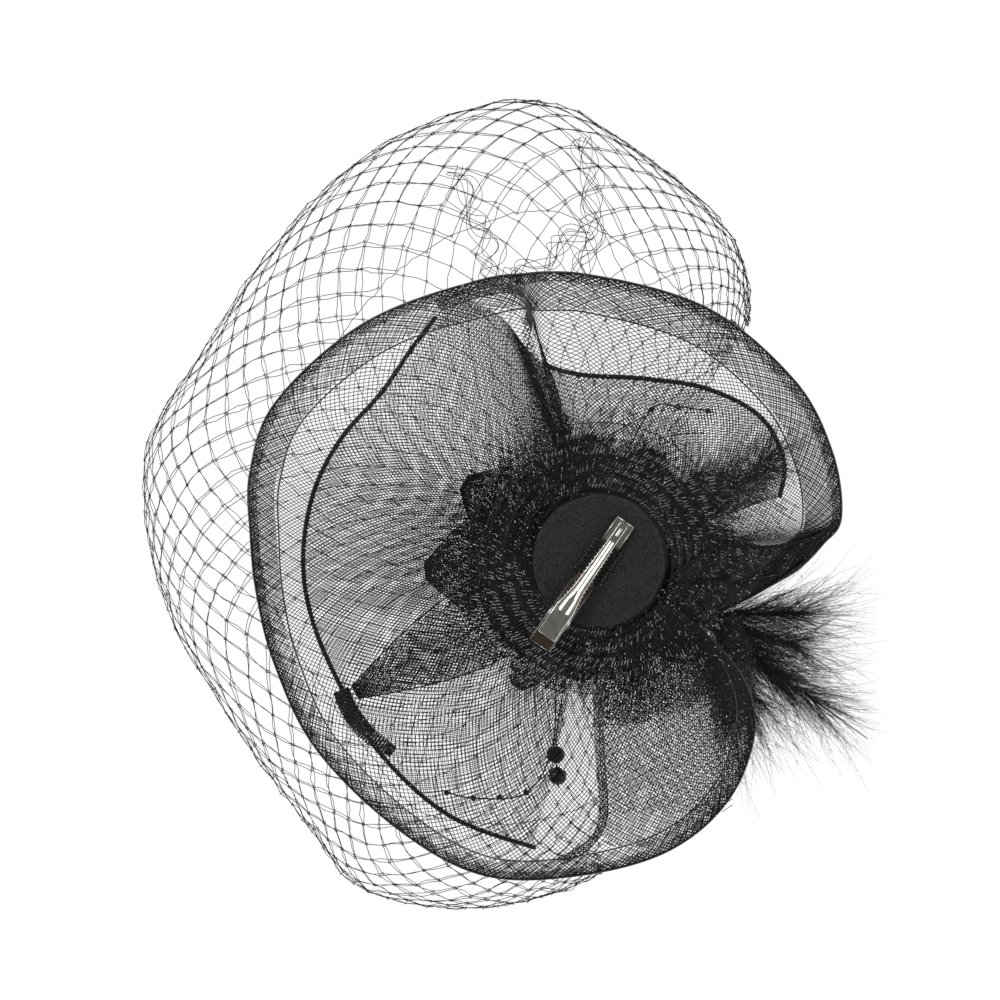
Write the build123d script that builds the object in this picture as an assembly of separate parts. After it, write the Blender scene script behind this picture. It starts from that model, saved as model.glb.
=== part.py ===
from build123d import *
import math
import os

# Fascinator headpiece, in millimetres. The felt pad lies on the hair: its underside is the plane
# z = 0, its centre is the origin, and +Z points away from the head. -Y is the front, where the
# veil falls over the forehead, and -X is the side with the deepest veil.
# Angles are measured about the pad from +X towards +Y, in degrees.

# ---- driving dimensions -------------------------------------------------------------------
PAD_R = 24.0
PAD_H = 3.0
BACKING_R = 21.0
BACKING_H = 1.0

BRIM_INNER_R = 13.0          # radius of the stitched gathers
BRIM_BASE_Z = 5.0            # height of the lower brim where it is stitched
CLOTH_T = 0.8                # thickness of a crinoline layer
HEM_T = 1.6                  # doubled crinoline
HEM_WIDTH = 14.5
WIRE_T = 1.4
CORD_T = 2.0
SEAM_GAP = 0.6               # clearance between pieces that are sewn edge to edge
CORD_GAP = 0.9               # the same beside a cord or wire, which cuts corners more
FIT_TOL = 0.1                # how closely a cloth surface follows its points

# Lower brim: (angle, radius) of its edge, from the end beside the slit right round to the other.
LOWER_EDGE = [
    (23, 48), (11, 60), (3, 73), (-4, 83), (-10, 91), (-25, 95), (-43, 98), (-68, 101),
    (-97, 107), (-114, 112), (-135, 123), (-154, 133), (-166, 133), (-176, 129), (-186, 127),
    (-198, 126), (-214, 126), (-234, 125), (-250, 126), (-265, 119), (-283, 112), (-298, 102),
    (-312, 86), (-321, 68), (-327, 43),
]
# Upper brim: the same, with the step where it folds back on itself near the front.
UPPER_EDGE = [
    (-19, 71), (-28, 78), (-41, 80), (-57, 75), (-75, 69), (-97, 69), (-107, 78), (-112, 98),
    (-119, 109), (-129, 105), (-142, 101), (-155, 105), (-167, 108), (-180, 109), (-192, 108),
    (-206, 106), (-222, 108), (-240, 110), (-258, 110),
]
# Veil: widest reach of the net at each angle.
VEIL_EDGE = [
    (-57, 106), (-62, 121), (-70, 136), (-83, 153), (-97, 174), (-112, 176), (-126, 173),
    (-140, 168), (-153, 168), (-166, 175), (-178, 169), (-190, 161), (-208, 150), (-222, 149),
    (-235, 154), (-250, 142), (-262, 130), (-271, 120),
]
VEIL_INNER_R = 13.0
VEIL_T = 0.8
VEIL_SWELL = 16.0            # how far the net bellies above the brim at its widest
VEIL_TURN = 132.0            # angle that the bellied profile turns through, past 90 so it curls in

# Petals of the flower, from the lowest up: (angle, length, width). Their roots step up in turn,
# above the two long bow loops, which lie lowest.
PETALS = [
    (176, 64, 48), (-150, 57, 42), (-95, 46, 38), (140, 48, 38),
    (-60, 46, 40), (20, 46, 40), (100, 46, 40), (60, 42, 34),
]
BOW_LOOPS = [(151, 103, 30), (122, 56, 26)]
ROOT_Z = 16.0
ROOT_STEP = 2.6
PETAL_INNER_R = 9.0
PETAL_T = 0.8
CORE_R = 7.5
CORE_TOP = 46.0

# Clip: along it from the thumb end to the tip, and its direction across the pad.
CLIP_START = (-21.8, 30.9)
CLIP_ANGLE = -54.9
CLIP_LENGTH = 55.0
PIN_AT = 12.2
PIN_Z = -4.4
PIN_R = 0.9
PIN_LENGTH = 9.4
PLATE_T = 0.5
BASE_W = 8.2
JAW_W = 7.3
RUNNING_GAP = 0.05
TOOTH_PITCH = 1.6
BINDING_PITCH = 1.6
BINDING_TURNS = 9
BINDING_START = 30.8
TOOTH_DEPTH = 0.3
LEVER_FROM = 4.4             # the jaw's thumb lever is this much shorter than the base arm's box


# ---- shape of the cloth -------------------------------------------------------------------
def reach_of(angle):
    """Typical radius of the brim at an angle."""
    return 114 + 16 * math.cos(math.radians(angle - 170))


def brim_height(angle, radius):
    """Height of the lower brim: nearly flat at the front right, cupped up at the back left."""
    swing = math.cos(math.radians(angle + 57))
    lift = 23 - 11 * swing
    power = 3.5 - 2 * swing
    return BRIM_BASE_Z + lift * (radius / reach_of(angle)) ** power


def upper_height(angle, radius):
    """The second layer lies above the first, and further above it towards the edge."""
    return brim_height(angle, radius) + 2 + 8 * (radius - BRIM_INNER_R) / 90


def polar(angle, radius):
    turn = math.radians(angle)
    return radius * math.cos(turn), radius * math.sin(turn)


def edge_at(edge, u):
    """Point of a smooth edge at u from 0 to 1, by Catmull-Rom between the listed points."""
    place = u * (len(edge) - 1)
    first = min(int(place), len(edge) - 2)
    t = place - first
    corner = [edge[max(0, min(len(edge) - 1, first + k))] for k in (-1, 0, 1, 2)]
    points = [polar(a, r) for a, r in corner]
    weights = (
        -0.5 * t + t * t - 0.5 * t ** 3,
        1 - 2.5 * t * t + 1.5 * t ** 3,
        0.5 * t + 2 * t * t - 1.5 * t ** 3,
        -0.5 * t * t + 0.5 * t ** 3,
    )
    x = sum(w * p[0] for w, p in zip(weights, points))
    y = sum(w * p[1] for w, p in zip(weights, points))
    return x, y


def ruffle_point(edge, inner_r, height, u, s):
    """Point of a gathered strip: u along it, s from the gathers (0) to the free edge (1)."""
    angle = edge[0][0] + (edge[-1][0] - edge[0][0]) * u
    inner_x, inner_y = polar(angle, inner_r)
    outer_x, outer_y = edge_at(edge, u)
    x = inner_x + (outer_x - inner_x) * s
    y = inner_y + (outer_y - inner_y) * s
    return Vector(x, y, height(math.degrees(math.atan2(y, x)), math.hypot(x, y)))


def ruffle_grid(edge, inner_r, height, u_steps, s_from, s_to, s_steps):
    """Rows of points across part of a ruffle. s_from and s_to are functions of u."""
    grid = []
    for i in range(u_steps + 1):
        u = i / u_steps
        low, high = s_from(u), s_to(u)
        steps = [low + (high - low) * j / s_steps for j in range(s_steps + 1)]
        grid.append([ruffle_point(edge, inner_r, height, u, s) for s in steps])
    return grid


def offset_grid(grid, distance):
    """The grid moved along its own normals."""
    rows, columns = len(grid), len(grid[0])
    moved = []
    for i in range(rows):
        row = []
        for j in range(columns):
            along = grid[min(i + 1, rows - 1)][j] - grid[max(i - 1, 0)][j]
            across = grid[i][min(j + 1, columns - 1)] - grid[i][max(j - 1, 0)]
            row.append(grid[i][j] + across.cross(along).normalized() * distance)
        moved.append(row)
    return moved


def slab(grid, thickness):
    """Closed solid of even thickness whose middle surface passes through the grid."""
    fit = {"tol": FIT_TOL, "smoothing": (1, 1, 1), "max_deg": 6} if len(grid[0]) > 2 else {}
    top, bottom = [
        Face.make_surface_from_array_of_points(offset_grid(grid, side * thickness / 2), **fit)
        for side in (1, -1)
    ]
    sides = [
        Face.make_surface_from_curves(a, b)
        for a, b in zip(top.edges(), bottom.edges())
    ]
    solid = Solid(Shell([top, bottom, *sides]))
    if solid.volume < 0:
        solid = Solid(Shell([-top, -bottom, *[-side for side in sides]]))
    return solid


def bar(points, width, thickness):
    """Flat-sided bar along a line of points: a cord, wire or ribbon."""
    rows = []
    for i, point in enumerate(points):
        ahead = points[min(i + 1, len(points) - 1)]
        behind = points[max(i - 1, 0)]
        along = Vector(ahead.X - behind.X, ahead.Y - behind.Y, 0).normalized()
        side = Vector(-along.Y, along.X, 0) * (width / 2)
        rows.append([point - side, point + side])
    return slab(rows, thickness)


def smooth_line(points, steps):
    """Points along a smooth curve through the given ones."""
    curve = Edge.make_spline([Vector(*p) for p in points])
    return [curve @ (i / steps) for i in range(steps + 1)]


# ---- base ---------------------------------------------------------------------------------
def felt_pad():
    pad = Cylinder(PAD_R, PAD_H, align=(Align.CENTER, Align.CENTER, Align.MIN))
    return fillet(pad.edges().filter_by(GeomType.CIRCLE), 0.7)


def backing_disc():
    disc = Cylinder(BACKING_R, BACKING_H, align=(Align.CENTER, Align.CENTER, Align.MIN))
    return Pos(0, 0, PAD_H) * disc


def centre_knot():
    """Sewn core of the flower: a waisted column with a domed cap."""
    with BuildPart() as core:
        with BuildSketch(Plane.XZ):
            with BuildLine():
                Line((0, 6.2), (CORE_R, 6.2))
                Spline((CORE_R, 6.2), (CORE_R - 1.2, 22), (CORE_R, CORE_TOP - 7))
                Spline(
                    (CORE_R, CORE_TOP - 7), (CORE_R * 0.62, CORE_TOP - 1.5), (0, CORE_TOP),
                    tangents=((0, 1), (-1, 0)),
                )
                Line((0, CORE_TOP), (0, 6.2))
            make_face()
        revolve(axis=Axis.Z)
    return core.part


# ---- clip, in its own frame: x along it, y across it, z away from the head ----------------
CLIP = Plane(
    origin=(CLIP_START[0], CLIP_START[1], 0),
    x_dir=(math.cos(math.radians(CLIP_ANGLE)), math.sin(math.radians(CLIP_ANGLE)), 0),
    z_dir=(0, 0, 1),
)
BASE_TOP_Z = -0.1
JAW_LINE = [(LEVER_FROM, -9.4), (PIN_AT, -7.2), (24.0, -6.2), (CLIP_LENGTH, -3.6)]


def outline(points, thickness, plane):
    """Straight-sided plate with the given outline, centred on its plane."""
    return extrude(plane * Polygon(*points, align=None), amount=thickness / 2, both=True)


def clip_base_arm():
    """Flat arm against the felt, with a box side and pin ear on each edge and a capped end."""
    z = BASE_TOP_Z - PLATE_T / 2
    end = CLIP_LENGTH
    half = BASE_W / 2
    side_line = [(0, half), (16, half), (30, 3.7), (end - 0.4, 3.65), (end, 3.2)]
    arm = side_line + [(x, -y) for x, y in reversed(side_line)]
    web = outline(arm, PLATE_T, Plane((0, 0, z)))
    window = Pos(8, 0, z) * Box(5, 3.2, PLATE_T * 2)
    parts = web - window
    ear = [
        (0, BASE_TOP_Z), (30, BASE_TOP_Z), (29, -0.9), (17, -2.2), (15, PIN_Z - 1.4),
        (13.4, PIN_Z - 2.2), (11, PIN_Z - 2.2), (8.6, PIN_Z - 0.4), (0, -3.9),
    ]
    for side in (-1, 1):
        y = side * (half - PLATE_T / 2 + 0.2)
        cheek = outline(ear, 0.3, Plane((0, y, 0), x_dir=(1, 0, 0), z_dir=(0, -1, 0)))
        parts += cheek - Pos(PIN_AT, y, PIN_Z) * Rot(90, 0, 0) * Cylinder(PIN_R, 2)
    cap_from = 45.4
    lip_align = (Align.CENTER, Align.CENTER, Align.MAX)
    lip = Box(end - cap_from, 0.35, 1.9, align=lip_align)
    for side in (-1, 1):
        parts += Pos((cap_from + end) / 2, side * 3.475, BASE_TOP_Z) * lip
    parts += Pos(end - 0.175, 0, BASE_TOP_Z) * Box(0.35, 6.4, 1.6, align=lip_align)
    return parts


def jaw_profile():
    """Side view of the jaw, with the teeth along its upper edge, as a wide block."""
    teeth = []
    count = int((CLIP_LENGTH - 2 - 17) / TOOTH_PITCH)
    for k in range(count):
        x = CLIP_LENGTH - 1.2 - k * TOOTH_PITCH
        teeth += [(x, -2.9), (x - TOOTH_PITCH / 2, -2.1)]
    wall = [*JAW_LINE, *teeth, (16.5, -2.8), (9.5, -2.8), (7.5, -5.4), (LEVER_FROM, -6.4)]
    return outline(wall, 30, Plane((0, 0, 0), x_dir=(1, 0, 0), z_dir=(0, -1, 0)))


def waist_at(waist, x):
    """Half width of the jaw between its listed places."""
    for (x0, y0), (x1, y1) in zip(waist, waist[1:]):
        if x <= x1:
            return y0 + (y1 - y0) * (x - x0) / (x1 - x0)
    return waist[-1][1]


def clip_jaw():
    """Narrow toothed channel with a boxed thumb lever, embossed near the hinge and at the tip."""
    half = JAW_W / 2
    waist = [(16, half), (25, 2.35), (44, 1.75)]
    edge = []
    for k in range(int((44 - 17) / TOOTH_PITCH)):
        x = 17 + k * TOOTH_PITCH
        y = waist_at(waist, x)
        edge += [(x, y), (x + TOOTH_PITCH * 0.5, y + TOOTH_DEPTH), (x + TOOTH_PITCH * 0.62, y)]
    tip = [(45, 1.7), (CLIP_LENGTH - 0.9, 1.6), (CLIP_LENGTH - 0.3, 0.8)]
    side = [(LEVER_FROM, half), (16, half), *edge, *tip]
    plan = side + [(x, -y) for x, y in reversed(side)]
    room_side = [(0, half - PLATE_T)] + [(x, y - PLATE_T) for x, y in waist] + [(CLIP_LENGTH - 1.4, 1.1)]
    hollow = room_side + [(x, -y) for x, y in reversed(room_side)]
    body = jaw_profile() & outline(plan, 40, Plane.XY)
    inner = [(x, z + PLATE_T) for x, z in JAW_LINE]
    slope = (inner[1][1] - inner[0][1]) / (inner[1][0] - inner[0][0])
    inner = [(0, inner[0][1] - slope * LEVER_FROM), *inner[1:]]
    room = [*inner, (CLIP_LENGTH, 2), (0, 2)]
    side_view = Plane((0, 0, 0), x_dir=(1, 0, 0), z_dir=(0, -1, 0))
    body -= outline(room, 30, side_view) & outline(hollow, 40, Plane.XY)
    body -= Pos(PIN_AT, 0, PIN_Z) * Rot(90, 0, 0) * Cylinder(PIN_R + RUNNING_GAP, 12)
    run = math.degrees(math.atan2(JAW_LINE[3][1] - JAW_LINE[2][1], JAW_LINE[3][0] - JAW_LINE[2][0]))
    for at, length, width in ((34, 24, 0.9), (50, 5, 1.4)):
        z = JAW_LINE[2][1] + (at - JAW_LINE[2][0]) * math.tan(math.radians(run))
        rib = extrude(SlotOverall(length, width), amount=0.28, both=True)
        body += Pos(at, 0, z) * Rot(0, -run, 0) * rib
    tongue = SlotOverall(11, 2.6) - Pos(0.6, 0, 0) * SlotOverall(10.9, 1.7)
    body += Pos(18, 0, (JAW_LINE[1][1] + JAW_LINE[2][1]) / 2) * Rot(0, -4.8, 0) * extrude(
        tongue, amount=0.3, both=True
    )
    return body


def clip_pin():
    shaft = Cylinder(PIN_R, PIN_LENGTH)
    heads = [Pos(0, 0, side * (PIN_LENGTH / 2 - 0.2)) * Cylinder(PIN_R + 0.35, 0.4) for side in (-1, 1)]
    return Pos(PIN_AT, 0, PIN_Z) * Rot(90, 0, 0) * (shaft + heads[0] + heads[1])


def clip_spring():
    """Torsion spring: four turns round the pin, one leg under each arm."""
    wire_r = 0.3
    coil_r = 1.65
    pitch = 0.75
    height = 4 * pitch
    helix = Helix(pitch=pitch, height=height, radius=coil_r)
    start = helix @ 0
    coil = sweep(Plane(origin=start, z_dir=helix % 0) * Circle(wire_r), path=helix)
    leg = Cylinder(wire_r, 9, align=(Align.CENTER, Align.CENTER, Align.MIN))
    coil = Pos(PIN_AT, height / 2, PIN_Z) * Rot(90, 0, 0) * coil
    reach = PIN_AT + coil_r
    fixed = Pos(reach, height / 2, PIN_Z) * Rot(0, 68, 0) * leg
    moving = Pos(reach, -height / 2, PIN_Z) * Rot(0, 96, 0) * leg
    return coil + fixed + moving


def clip_binding():
    """Whipped thread over the base arm, one solid for each turn."""
    low, high = -1.15, -0.75
    staple = [(-5.9, 0), (-5.9, -0.7), (-4.9, low), (4.9, low), (5.9, -0.7), (5.9, 0),
              (4.4, 0), (4.4, high), (-4.4, high), (-4.4, 0)]
    turns = []
    for k in range(BINDING_TURNS):
        x = BINDING_START + k * BINDING_PITCH
        section = Plane((x, 0, 0), x_dir=(0, 1, 0), z_dir=(1, 0, 0))
        turns.append(outline(staple, BINDING_PITCH * 0.8, section))
    return Compound(children=turns)


# ---- brims --------------------------------------------------------------------------------
def span_of(edge, inner_r, u):
    """Length of the ruffle across, from the gathers to the edge, at u."""
    outer_x, outer_y = edge_at(edge, u)
    return math.hypot(outer_x, outer_y) - inner_r


def back_from_edge(edge, inner_r, distance):
    """The s that lies a distance inside the free edge, as a function of u. Where the edge slants
    across the ruffle, more of s makes up the same distance."""
    def place(u):
        before_x, before_y = edge_at(edge, max(0, u - 0.005))
        after_x, after_y = edge_at(edge, min(1, u + 0.005))
        outer_x, outer_y = edge_at(edge, u)
        inner_x, inner_y = polar(edge[0][0] + (edge[-1][0] - edge[0][0]) * u, inner_r)
        run = Vector(after_x - before_x, after_y - before_y, 0).normalized()
        across = Vector(outer_x - inner_x, outer_y - inner_y, 0)
        square = max(0.35, abs(run.cross(across.normalized()).Z))
        return 1 - distance / square / across.length
    return place


def hem_start(u):
    """The hem keeps its width along the cloth, so it covers less of the plan where it is steep."""
    angle = LOWER_EDGE[0][0] + (LOWER_EDGE[-1][0] - LOWER_EDGE[0][0]) * u
    swing = math.cos(math.radians(angle + 57))
    slope = (23 - 11 * swing) * (3.5 - 2 * swing) / reach_of(angle)
    width = min(HEM_WIDTH / math.hypot(1, slope), 0.3 * span_of(LOWER_EDGE, BRIM_INNER_R, u))
    return 1 - width / span_of(LOWER_EDGE, BRIM_INNER_R, u)


def lower_brim():
    seam = lambda u: hem_start(u) - SEAM_GAP / span_of(LOWER_EDGE, BRIM_INNER_R, u)
    start = lambda u: 0
    return slab(ruffle_grid(LOWER_EDGE, BRIM_INNER_R, brim_height, 48, start, seam, 10), CLOTH_T)


def brim_hem():
    fold = back_from_edge(LOWER_EDGE, BRIM_INNER_R, WIRE_T + CORD_GAP)
    return slab(ruffle_grid(LOWER_EDGE, BRIM_INNER_R, brim_height, 48, hem_start, fold, 4), HEM_T)


def brim_wire():
    line = back_from_edge(LOWER_EDGE, BRIM_INNER_R, WIRE_T / 2)
    points = [
        ruffle_point(LOWER_EDGE, BRIM_INNER_R, brim_height, i / 72, line(i / 72)) for i in range(73)
    ]
    return bar(points, WIRE_T, WIRE_T)


def upper_brim():
    edge = back_from_edge(UPPER_EDGE, BRIM_INNER_R, CORD_T + CORD_GAP)
    start = lambda u: 0
    return slab(ruffle_grid(UPPER_EDGE, BRIM_INNER_R, upper_height, 44, start, edge, 8), CLOTH_T)


def upper_brim_cord():
    line = back_from_edge(UPPER_EDGE, BRIM_INNER_R, CORD_T / 2)
    points = [
        ruffle_point(UPPER_EDGE, BRIM_INNER_R, upper_height, i / 72, line(i / 72)) for i in range(73)
    ]
    return bar(points, CORD_T, CORD_T)


def ribbon_tail():
    """Short ribbed ribbon end that lies on the second layer at the back left."""
    ends = (-94, 49), (-75, 73)
    points = []
    for k in range(7):
        x = ends[0][0] + (ends[1][0] - ends[0][0]) * k / 6
        y = ends[0][1] + (ends[1][1] - ends[0][1]) * k / 6
        lift = upper_height(math.degrees(math.atan2(y, x)), math.hypot(x, y)) + 5
        points.append(Vector(x, y, lift))
    return bar(points, 8, 0.9)


# ---- veil ---------------------------------------------------------------------------------
def veil_point(u, s):
    """The net leaves the core, lies over the brim, bellies out and curls back in."""
    turn = math.radians(VEIL_TURN * s)
    angle = VEIL_EDGE[0][0] + (VEIL_EDGE[-1][0] - VEIL_EDGE[0][0]) * u
    inner_x, inner_y = polar(angle, VEIL_INNER_R)
    outer_x, outer_y = edge_at(VEIL_EDGE, u)
    x = inner_x + (outer_x - inner_x) * math.sin(turn)
    y = inner_y + (outer_y - inner_y) * math.sin(turn)
    out = min(turn, math.pi / 2)
    way = math.degrees(math.atan2(y, x))
    radius = VEIL_INNER_R + (math.hypot(outer_x, outer_y) - VEIL_INNER_R) * math.sin(out)
    rest = min(radius, 0.97 * reach_of(way))
    over = 4.5 + 14 * min(radius / 100, 1)
    return Vector(x, y, brim_height(way, rest) + over + VEIL_SWELL * (1 - math.cos(turn)))


def veil():
    grid = [[veil_point(i / 48, j / 16) for j in range(17)] for i in range(49)]
    return slab(grid, VEIL_T)


# ---- flower -------------------------------------------------------------------------------
def petal_point(angle, length, width, root, s, t):
    """Leaf shape: s from root to tip, t from -1 to 1 across; it rises outwards and is cupped."""
    along = PETAL_INNER_R + (length - PETAL_INNER_R) * s
    half = 2 + (width / 2 - 2) * math.sin(math.pi * min(1, 0.02 + 0.96 * s) ** 0.8)
    x, y = polar(angle, along)
    side_x, side_y = polar(angle + 90, half * t)
    rise = 13 * (along / 60) ** 1.3 + 1.5 * t * t * math.sin(math.pi * s)
    return Vector(x + side_x, y + side_y, root + rise)


def petal(angle, length, width, root):
    grid = [
        [petal_point(angle, length, width, root, i / 12, j / 4 - 1) for j in range(9)]
        for i in range(13)
    ]
    return slab(grid, PETAL_T)


# ---- beads --------------------------------------------------------------------------------
# Each wire leaves the core's top and ends among its beads.
BEAD_WIRES = [
    [(-1, 4, 42), (-7, 28, 58), (-13, 55, 56), (-15, 72, 50), (-14, 86, 48)],
    [(-4, 3, 42), (-14, 38, 60), (-16, 70, 56), (-26, 88, 50), (-46, 90, 49), (-58, 87, 49)],
    [(-5, 1, 42), (-34, 20, 58), (-62, 36, 52)],
    [(2, -4, 42), (10, -34, 57), (21, -56, 50), (31, -57, 48), (44, -55, 47)],
]
BEAD_WIRE_T = 0.7
SMALL_BEAD_R = 1.1
LARGE_BEAD_R = 3.5
SMALL_BEADS = [
    (-26, 88, 50), (-36, 89.6, 49.4), (-46, 90, 49), (-56, 88, 49),
    (-60, 35, 52.4), (21, -56, 50), (31, -57, 48), (42, -55.4, 47.2),
]
LARGE_BEADS = [(-15, 73.6, 50), (-14.4, 81.6, 48.6)]


def bead_wire(points):
    return bar(smooth_line(points, 24), BEAD_WIRE_T, BEAD_WIRE_T)


def beads(places, radius):
    """Faceted beads are near enough balls here; they are strung on the wires."""
    return Compound(children=[Pos(*place) * Sphere(radius) for place in places])


# ---- feathers -----------------------------------------------------------------------------
# Each plume: its quill's line, then half-widths of the barbs along it.
QUILL_1 = [(22, 12, 26), (48, 29, 33), (76, 49, 36), (101, 67, 36)]
QUILL_2 = [(14, -9, 19), (34, -19, 25), (54, -30, 29), (68, -42, 31)]
QUILL_T = 1.2
PLUME_T = 5.0


def plume(line, half_widths, start, end):
    """Soft body of the barbs: a flat leaf round the quill from start to end of its length."""
    curve = Edge.make_spline([Vector(*p) for p in line])
    rows = []
    for i, half in enumerate(half_widths):
        at = start + (end - start) * i / (len(half_widths) - 1)
        centre = curve @ at
        along = curve % at
        side = Vector(-along.Y, along.X, 0).normalized()
        row = []
        for j in range(5):
            across = j / 2 - 1
            row.append(centre + side * (half * across) + Vector(0, 0, 2 * abs(across)))
        rows.append(row)
    return slab(rows, PLUME_T)


def quill(line):
    return bar(smooth_line(line, 16), QUILL_T, QUILL_T)


# ---- write each sub-part ------------------------------------------------------------------
def write(name, shape):
    os.makedirs("parts", exist_ok=True)
    export_step(shape, f"parts/{name}.step")


write("felt_pad", felt_pad())
write("backing_disc", backing_disc())
write("centre_knot", centre_knot())
write("clip_base_arm", CLIP.location * clip_base_arm())
write("clip_jaw", CLIP.location * clip_jaw())
write("clip_pin", CLIP.location * clip_pin())
write("clip_spring", CLIP.location * clip_spring())
write("clip_binding", CLIP.location * clip_binding())
write("lower_brim", lower_brim())
write("brim_hem", brim_hem())
write("brim_wire", brim_wire())
write("upper_brim", upper_brim())
write("upper_brim_cord", upper_brim_cord())
write("ribbon_tail", ribbon_tail())
write("veil", veil())
for number, shape in enumerate(BOW_LOOPS, 1):
    write(f"bow_loop_{number}", petal(*shape, ROOT_Z + ROOT_STEP * (number - 1)))
for number, shape in enumerate(PETALS, 1):
    write(f"petal_{number}", petal(*shape, ROOT_Z + ROOT_STEP * (number + 1)))
for number, points in enumerate(BEAD_WIRES, 1):
    write(f"bead_wire_{number}", bead_wire(points))
write("small_beads", beads(SMALL_BEADS, SMALL_BEAD_R))
write("large_beads", beads(LARGE_BEADS, LARGE_BEAD_R))
write("quill_1", quill(QUILL_1))
write("quill_2", quill(QUILL_2))
write("plume_1", plume(QUILL_1, [10, 26, 33, 34, 26, 12], 0.12, 0.97))
write("plume_2", plume(QUILL_2, [7, 17, 22, 21, 10], 0.1, 0.98))
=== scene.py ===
import bpy
import math
import numpy as np
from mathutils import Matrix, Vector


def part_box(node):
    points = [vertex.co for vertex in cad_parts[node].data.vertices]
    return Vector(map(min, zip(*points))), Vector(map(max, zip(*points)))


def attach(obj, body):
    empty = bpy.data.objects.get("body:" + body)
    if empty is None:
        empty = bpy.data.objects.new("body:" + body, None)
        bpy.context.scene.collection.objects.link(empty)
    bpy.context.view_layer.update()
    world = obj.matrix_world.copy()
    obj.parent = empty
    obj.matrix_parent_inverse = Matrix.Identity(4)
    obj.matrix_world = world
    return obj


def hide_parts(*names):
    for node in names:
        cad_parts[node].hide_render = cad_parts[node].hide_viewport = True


# Looks of the fascinator headpiece. Shapes are worked out in millimetres in the frame's axes, with
# the felt pad's underside on z = 0 and +Z away from the head, and are scaled to metres when a mesh
# is made. Cloth is built thread by thread: the crinoline is a diagonal braid and the veil a net.

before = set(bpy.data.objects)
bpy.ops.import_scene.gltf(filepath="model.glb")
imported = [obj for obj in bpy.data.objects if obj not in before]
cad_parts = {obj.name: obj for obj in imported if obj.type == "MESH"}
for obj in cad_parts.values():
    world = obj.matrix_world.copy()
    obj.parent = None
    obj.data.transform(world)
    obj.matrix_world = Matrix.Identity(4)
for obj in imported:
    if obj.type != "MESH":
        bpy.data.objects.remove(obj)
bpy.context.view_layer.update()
MM = 0.001
FULL = 2 * math.pi           # a full turn
scene = bpy.context.scene
HEAD = "headpiece"
JAW = "clip_jaw_body"
rng = np.random.default_rng(738)


def node_box(node):
    """A CAD node's box in millimetres."""
    low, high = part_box(node)
    return np.array(low) / MM, np.array(high) / MM


# ---- camera: below the head side, looking straight up at the pad ----
PICTURE_WIDTH = 364.0        # what the view spans at the pad, in millimetres
SENSOR = 36.0
LENS = 150.0
CAMERA_AT = (-36.0, -22.0)
camera_data = bpy.data.cameras.new("camera")
camera_data.lens = LENS
camera_data.sensor_width = SENSOR
camera = bpy.data.objects.new("camera", camera_data)
camera.location = (CAMERA_AT[0] * MM, CAMERA_AT[1] * MM, -PICTURE_WIDTH * LENS / SENSOR * MM)
camera.rotation_euler = (math.pi, 0, 0)
scene.collection.objects.link(camera)
scene.camera = camera


# ---- materials ----
def new_material(name):
    material = bpy.data.materials.new(name)
    material.use_nodes = True
    nodes = material.node_tree.nodes
    return material, nodes, material.node_tree.links, nodes["Principled BSDF"]


def noise(nodes, links, scale, detail=3.0, stretch=(1, 1, 1)):
    """Noise in the object's own space; scale is in cells to the metre."""
    place = nodes.new("ShaderNodeTexCoord")
    mapping = nodes.new("ShaderNodeMapping")
    mapping.inputs["Scale"].default_value = stretch
    texture = nodes.new("ShaderNodeTexNoise")
    texture.inputs["Scale"].default_value = scale
    texture.inputs["Detail"].default_value = detail
    links.new(place.outputs["Object"], mapping.inputs["Vector"])
    links.new(mapping.outputs["Vector"], texture.inputs["Vector"])
    return texture.outputs["Fac"]


def ramp(nodes, links, value, stops):
    """Colour ramp with (position, colour) stops."""
    node = nodes.new("ShaderNodeValToRGB")
    while len(node.color_ramp.elements) < len(stops):
        node.color_ramp.elements.new(0.5)
    for element, (position, colour) in zip(node.color_ramp.elements, stops):
        element.position = position
        element.color = (*colour, 1)
    links.new(value, node.inputs["Fac"])
    return node.outputs["Color"]


def bump(nodes, links, shader, value, strength, distance):
    node = nodes.new("ShaderNodeBump")
    node.inputs["Strength"].default_value = strength
    node.inputs["Distance"].default_value = distance
    links.new(value, node.inputs["Height"])
    links.new(node.outputs["Normal"], shader.inputs["Normal"])


def stretched(nodes, links, value, low, high):
    """A value from 0 to 1, stretched to a range."""
    node = nodes.new("ShaderNodeMapRange")
    node.inputs["To Min"].default_value = low
    node.inputs["To Max"].default_value = high
    links.new(value, node.inputs["Value"])
    return node.outputs["Result"]


def grey(value, blue=1.05):
    """A slightly cool grey."""
    return (value, value * (1 + (blue - 1) / 2), value * blue)


# Painted highlights: where fine noise passes GLINT_FROM, specks of the thread colour are lit up to stand in
# for glints of light.
GLINT_SCALE = 1300.0         # cells to the metre
GLINT_FROM = 0.7             # the noise has to pass this to glint
GLINT_EDGE = 0.05
FIBRE_UNEVEN = 0.08          # how far the roughness of thread wanders
DRAWN = (1, 0.06, 1)         # stretches noise into the lines of drawn metal


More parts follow.
